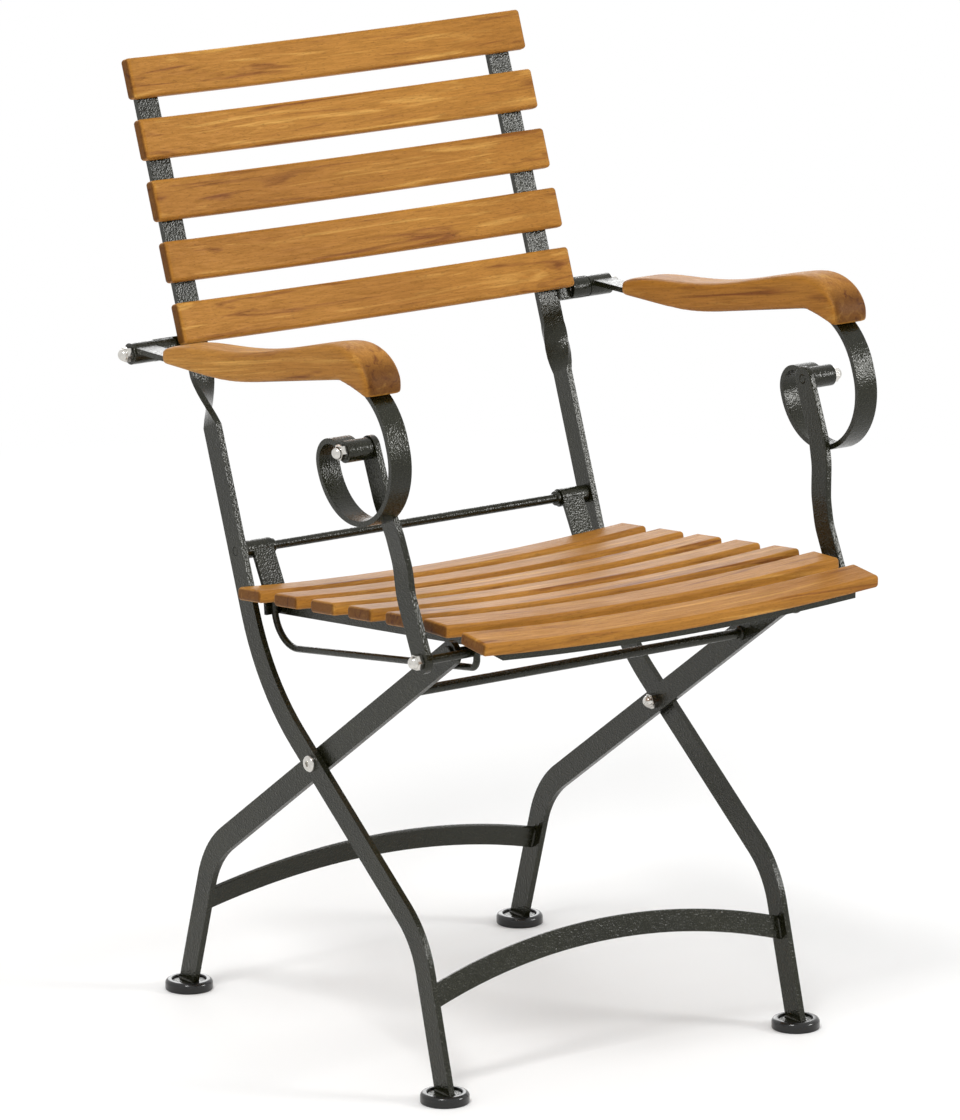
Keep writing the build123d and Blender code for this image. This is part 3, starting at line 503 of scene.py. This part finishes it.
def round_wood(node, voxel, passes):
    """Sands a frame node's edges round, without a change to its own mesh."""
    piece = join_faces(node)
    even = piece.modifiers.new("even_faces", "REMESH")
    even.mode = "VOXEL"
    even.voxel_size = voxel
    even.use_smooth_shade = True
    sanded = piece.modifiers.new("sanded_edges", "SMOOTH")
    sanded.factor = SANDING_FACTOR
    sanded.iterations = passes


def finish_mesh(name, mesh_data, body, material):
    """Turns a bmesh into a piece that rides on a body and takes a material slot's finish."""
    bmesh.ops.remove_doubles(mesh_data, verts=mesh_data.verts, dist=BEAD_JOIN_DISTANCE)
    bmesh.ops.recalc_face_normals(mesh_data, faces=mesh_data.faces)
    for face in mesh_data.faces:
        face.smooth = True
    mesh = bpy.data.meshes.new(name)
    mesh_data.to_mesh(mesh)
    mesh_data.free()
    mesh.materials.append(material)
    piece = bpy.data.objects.new(name, mesh)
    bpy.context.scene.collection.objects.link(piece)
    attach(piece, body)


def edges_between(edges, verts):
    return [edge for edge in edges if all(vert in verts for vert in edge.verts)]


def add_bead(mesh_data, start, run, settings):
    """Rippled weld bead along a run from its start, extruded ring by ring."""
    steps = max(1, round(run.length / settings.ripple)) * RIPPLE_STEPS
    turn = Vector((0, 0, 1)).rotation_difference(run.normalized()).to_matrix().to_4x4()
    place = start
    size = settings.radius * BEAD_TIP
    ring = bmesh.ops.create_circle(
        mesh_data, cap_ends=True, segments=settings.sides, radius=1.0,
        matrix=Matrix.Translation(place) @ turn @ Matrix.Scale(size, 4),
    )
    loop = edges_between(mesh_data.edges, ring["verts"])
    for step in range(1, steps + 1):
        share = step / steps
        taper = min(1.0, BEAD_SWELL * share, BEAD_SWELL * (1.0 - share))
        wave = 1.0 - RIPPLE_DEPTH + RIPPLE_DEPTH * cos(2 * pi * step / RIPPLE_STEPS)
        new_place = start + run * share
        new_size = settings.radius * max(BEAD_TIP, taper**0.5) * wave
        grown = bmesh.ops.extrude_edge_only(mesh_data, edges=loop)["geom"]
        verts = [item for item in grown if isinstance(item, bmesh.types.BMVert)]
        edges = [item for item in grown if isinstance(item, bmesh.types.BMEdge)]
        loop = edges_between(edges, verts)
        bmesh.ops.scale(
            mesh_data, vec=Vector((1, 1, 1)) * (new_size / size), verts=verts,
            space=Matrix.Translation(-place),
        )
        bmesh.ops.translate(mesh_data, vec=new_place - place, verts=verts)
        place = new_place
        size = new_size
    bmesh.ops.edgeloop_fill(mesh_data, edges=loop)


def add_ring_bead(mesh_data, middle, radius, settings):
    """Round weld bead about a rod that lies across the chair."""
    middle = Vector(middle)
    axis = Vector((1, 0, 0))
    out = axis.orthogonal().normalized()
    turn = Matrix((out, axis, axis.cross(out))).transposed().to_4x4()
    ring = bmesh.ops.create_circle(
        mesh_data, segments=settings.sides, radius=settings.radius,
        matrix=Matrix.Translation(middle + out * radius) @ turn,
    )
    loop = edges_between(mesh_data.edges, ring["verts"])
    bmesh.ops.spin(
        mesh_data, geom=ring["verts"] + loop, cent=middle, axis=axis, angle=2 * pi,
        steps=RIPPLE_STEPS * round(2 * pi * radius / settings.ripple), use_merge=True,
    )


# Operators
class ARMCHAIR_OT_paint_frame(bpy.types.Operator):
    """Rounds the steel bars' edges and gives them hammered paint"""

    bl_idname = "armchair.paint_frame"
    bl_label = "Paint the frame"

    def execute(self, context):
        settings = context.scene.armchair.paint
        material = hammered_paint(settings)
        for node in nodes_with_slot("frame_paint"):
            dress(node, material)
            soften(node, settings.edge)
        return {"FINISHED"}


class ARMCHAIR_OT_finish_slats(bpy.types.Operator):
    """Gives the seat and back slats oiled wood with grain along them"""

    bl_idname = "armchair.finish_slats"
    bl_label = "Finish the slats"

    def execute(self, context):
        material = oiled_wood("slat_wood", context.scene.armchair.wood, SLAT_GRAIN)
        for node in nodes_with_slot("wood"):
            if "slat" in node:
                dress(node, material)
        return {"FINISHED"}


class ARMCHAIR_OT_finish_armrests(bpy.types.Operator):
    """Sands the armrests round and gives them oiled wood with grain along the arm"""

    bl_idname = "armchair.finish_armrests"
    bl_label = "Finish the armrests"

    def execute(self, context):
        settings = context.scene.armchair.wood
        material = oiled_wood("armrest_wood", settings, ARMREST_GRAIN)
        for node in nodes_with_slot("wood"):
            if "armrest" in node:
                dress(node, material)
                round_wood(node, settings.voxel, settings.rounding)
        return {"FINISHED"}


class ARMCHAIR_OT_finish_fasteners(bpy.types.Operator):
    """Gives the nuts, bolts and studs bright nickel and the screws zinc"""

    bl_idname = "armchair.finish_fasteners"
    bl_label = "Finish the fasteners"

    def execute(self, context):
        settings = context.scene.armchair.metal
        nickel = plated_metal("nickel_plate", settings.nickel, settings.nickel_roughness)
        zinc = plated_metal("zinc_plate", settings.zinc, settings.zinc_roughness)
        for slot, material in (("bright_steel", nickel), ("screw_steel", zinc)):
            for node in nodes_with_slot(slot):
                dress(node, material)
                soften(node, settings.edge)
        return {"FINISHED"}


class ARMCHAIR_OT_finish_feet(bpy.types.Operator):
    """Gives the foot caps glossy black plastic"""

    bl_idname = "armchair.finish_feet"
    bl_label = "Finish the feet"

    def execute(self, context):
        settings = context.scene.armchair.foot
        material = glossy_black(settings)
        for node in nodes_with_slot("foot_plastic"):
            dress(node, material)
            soften(node, settings.edge, settings.segments)
        return {"FINISHED"}


class ARMCHAIR_OT_lay_welds(bpy.types.Operator):
    """Lays weld beads where stretchers, leg rod, arm brackets and foot plates meet the flat bars"""

    bl_idname = "armchair.lay_welds"
    bl_label = "Lay the welds"

    def execute(self, context):
        settings = context.scene.armchair.weld
        paint = bpy.data.materials["hammered_paint"]
        for body, joints in WELDS.items():
            beads = bmesh.new()
            for joint in joints:
                self.weld_bar(beads, joint, settings)
            if body == "rear_legs":
                for side in SIDES:
                    rod_end = (side * LEG_ROD_END, *LEG_ROD_PLACE)
                    add_ring_bead(beads, rod_end, LEG_ROD_RADIUS, settings)
            finish_mesh(f"{body}_welds", beads, body, paint)
        return {"FINISHED"}

    def weld_bar(self, beads, joint, settings):
        """Beads on both faces of a bar that ends on another, on each side of the chair."""
        along = Vector((0.0, sin(joint.lean), cos(joint.lean)))
        facing = Vector((1.0, 0.0, 0.0))
        if joint.from_side:
            facing = Vector((0.0, -cos(joint.lean), sin(joint.lean)))
        for side in SIDES:
            middle = Vector((side * joint.across, *joint.place))
            for turn in (-1, 1):
                start = middle + facing * joint.half_gap * turn - along * joint.half_run
                add_bead(beads, start, along * (2 * joint.half_run), settings)


class ARMCHAIR_OT_build_stage(bpy.types.Operator):
    """Adds the studio floor, the lights and the camera"""

    bl_idname = "armchair.build_stage"
    bl_label = "Build the stage"

    def execute(self, context):
        scene = context.scene
        settings = scene.armchair.view
        self.lay_floor(scene, settings)
        self.light_world(scene)
        self.hang_lamps(scene)
        self.place_camera(scene, settings)
        scene.view_settings.view_transform = "Standard"
        return {"FINISHED"}

    def lay_floor(self, scene, settings):
        ground = bmesh.new()
        bmesh.ops.create_grid(ground, x_segments=1, y_segments=1, size=settings.floor_size / 2)
        mesh = bpy.data.meshes.new("studio_floor")
        ground.to_mesh(mesh)
        ground.free()
        mesh.materials.append(pale_floor(settings.floor))
        floor = bpy.data.objects.new("studio_floor", mesh)
        scene.collection.objects.link(floor)

    def light_world(self, scene):
        """Soft light that grows with height, and white where the background is seen."""
        world = bpy.data.worlds.new("studio_world")
        world.use_nodes = True
        tree = world.node_tree
        coordinates = tree.nodes.new("ShaderNodeTexCoord")
        sky = add_node(tree, "ShaderNodeSeparateXYZ", Vector=coordinates.outputs["Generated"])
        light = ramp(tree, sky.outputs["Z"], SKY_LIGHT)
        lit = mix(tree, "MIX", seen_rays(tree), light, WHITE)
        tree.links.new(lit, tree.nodes["Background"].inputs["Color"])
        scene.world = world

    def hang_lamps(self, scene):
        for name, place, size, power in LAMPS:
            light = bpy.data.lights.new(name, "AREA")
            light.shape = "DISK"
            light.size = size
            light.energy = power
            lamp = bpy.data.objects.new(name, light)
            lamp.location = place
            aim = Vector(LAMP_AIM) - Vector(place)
            lamp.rotation_euler = aim.to_track_quat("-Z", "Y").to_euler()
            scene.collection.objects.link(lamp)

    def place_camera(self, scene, settings):
        azimuth = settings.azimuth
        elevation = settings.elevation
        away = Vector((
            sin(azimuth) * cos(elevation), -cos(azimuth) * cos(elevation), sin(elevation)
        ))
        data = bpy.data.cameras.new("photo_camera")
        data.sensor_fit = "VERTICAL"
        data.angle_y = settings.field
        data.shift_x = settings.shift_x
        data.shift_y = settings.shift_y
        data.clip_end = VIEW_REACH
        camera = bpy.data.objects.new("photo_camera", data)
        camera.location = Vector(settings.middle) + away * settings.distance
        camera.rotation_euler = away.to_track_quat("Z", "Y").to_euler()
        scene.collection.objects.link(camera)
        scene.camera = camera


class ARMCHAIR_PT_panel(bpy.types.Panel):
    """Buttons for each step of the armchair's finish"""

    bl_label = "Folding armchair"
    bl_idname = "ARMCHAIR_PT_panel"
    bl_space_type = "VIEW_3D"
    bl_region_type = "UI"
    bl_category = "Armchair"

    def draw(self, context):
        for operator in OPERATORS:
            self.layout.operator(operator.bl_idname)


OPERATORS = (
    ARMCHAIR_OT_paint_frame,
    ARMCHAIR_OT_finish_slats,
    ARMCHAIR_OT_finish_armrests,
    ARMCHAIR_OT_finish_fasteners,
    ARMCHAIR_OT_finish_feet,
    ARMCHAIR_OT_lay_welds,
    ARMCHAIR_OT_build_stage,
)
CLASSES = (
    PaintSettings,
    WoodSettings,
    MetalSettings,
    FootSettings,
    WeldSettings,
    ViewSettings,
    ArmchairSettings,
    *OPERATORS,
    ARMCHAIR_PT_panel,
)


def register():
    for cls in CLASSES:
        bpy.utils.register_class(cls)
    bpy.types.Scene.armchair = group(
        ArmchairSettings, "Armchair", "Sizes and colours of the armchair's finish"
    )


def unregister():
    del bpy.types.Scene.armchair
    for cls in reversed(CLASSES):
        bpy.utils.unregister_class(cls)


def main():
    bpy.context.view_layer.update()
    register()
    for operator in OPERATORS:
        category, name = operator.bl_idname.split(".")
        getattr(getattr(bpy.ops, category), name)()


if __name__ == "__main__":
    main()
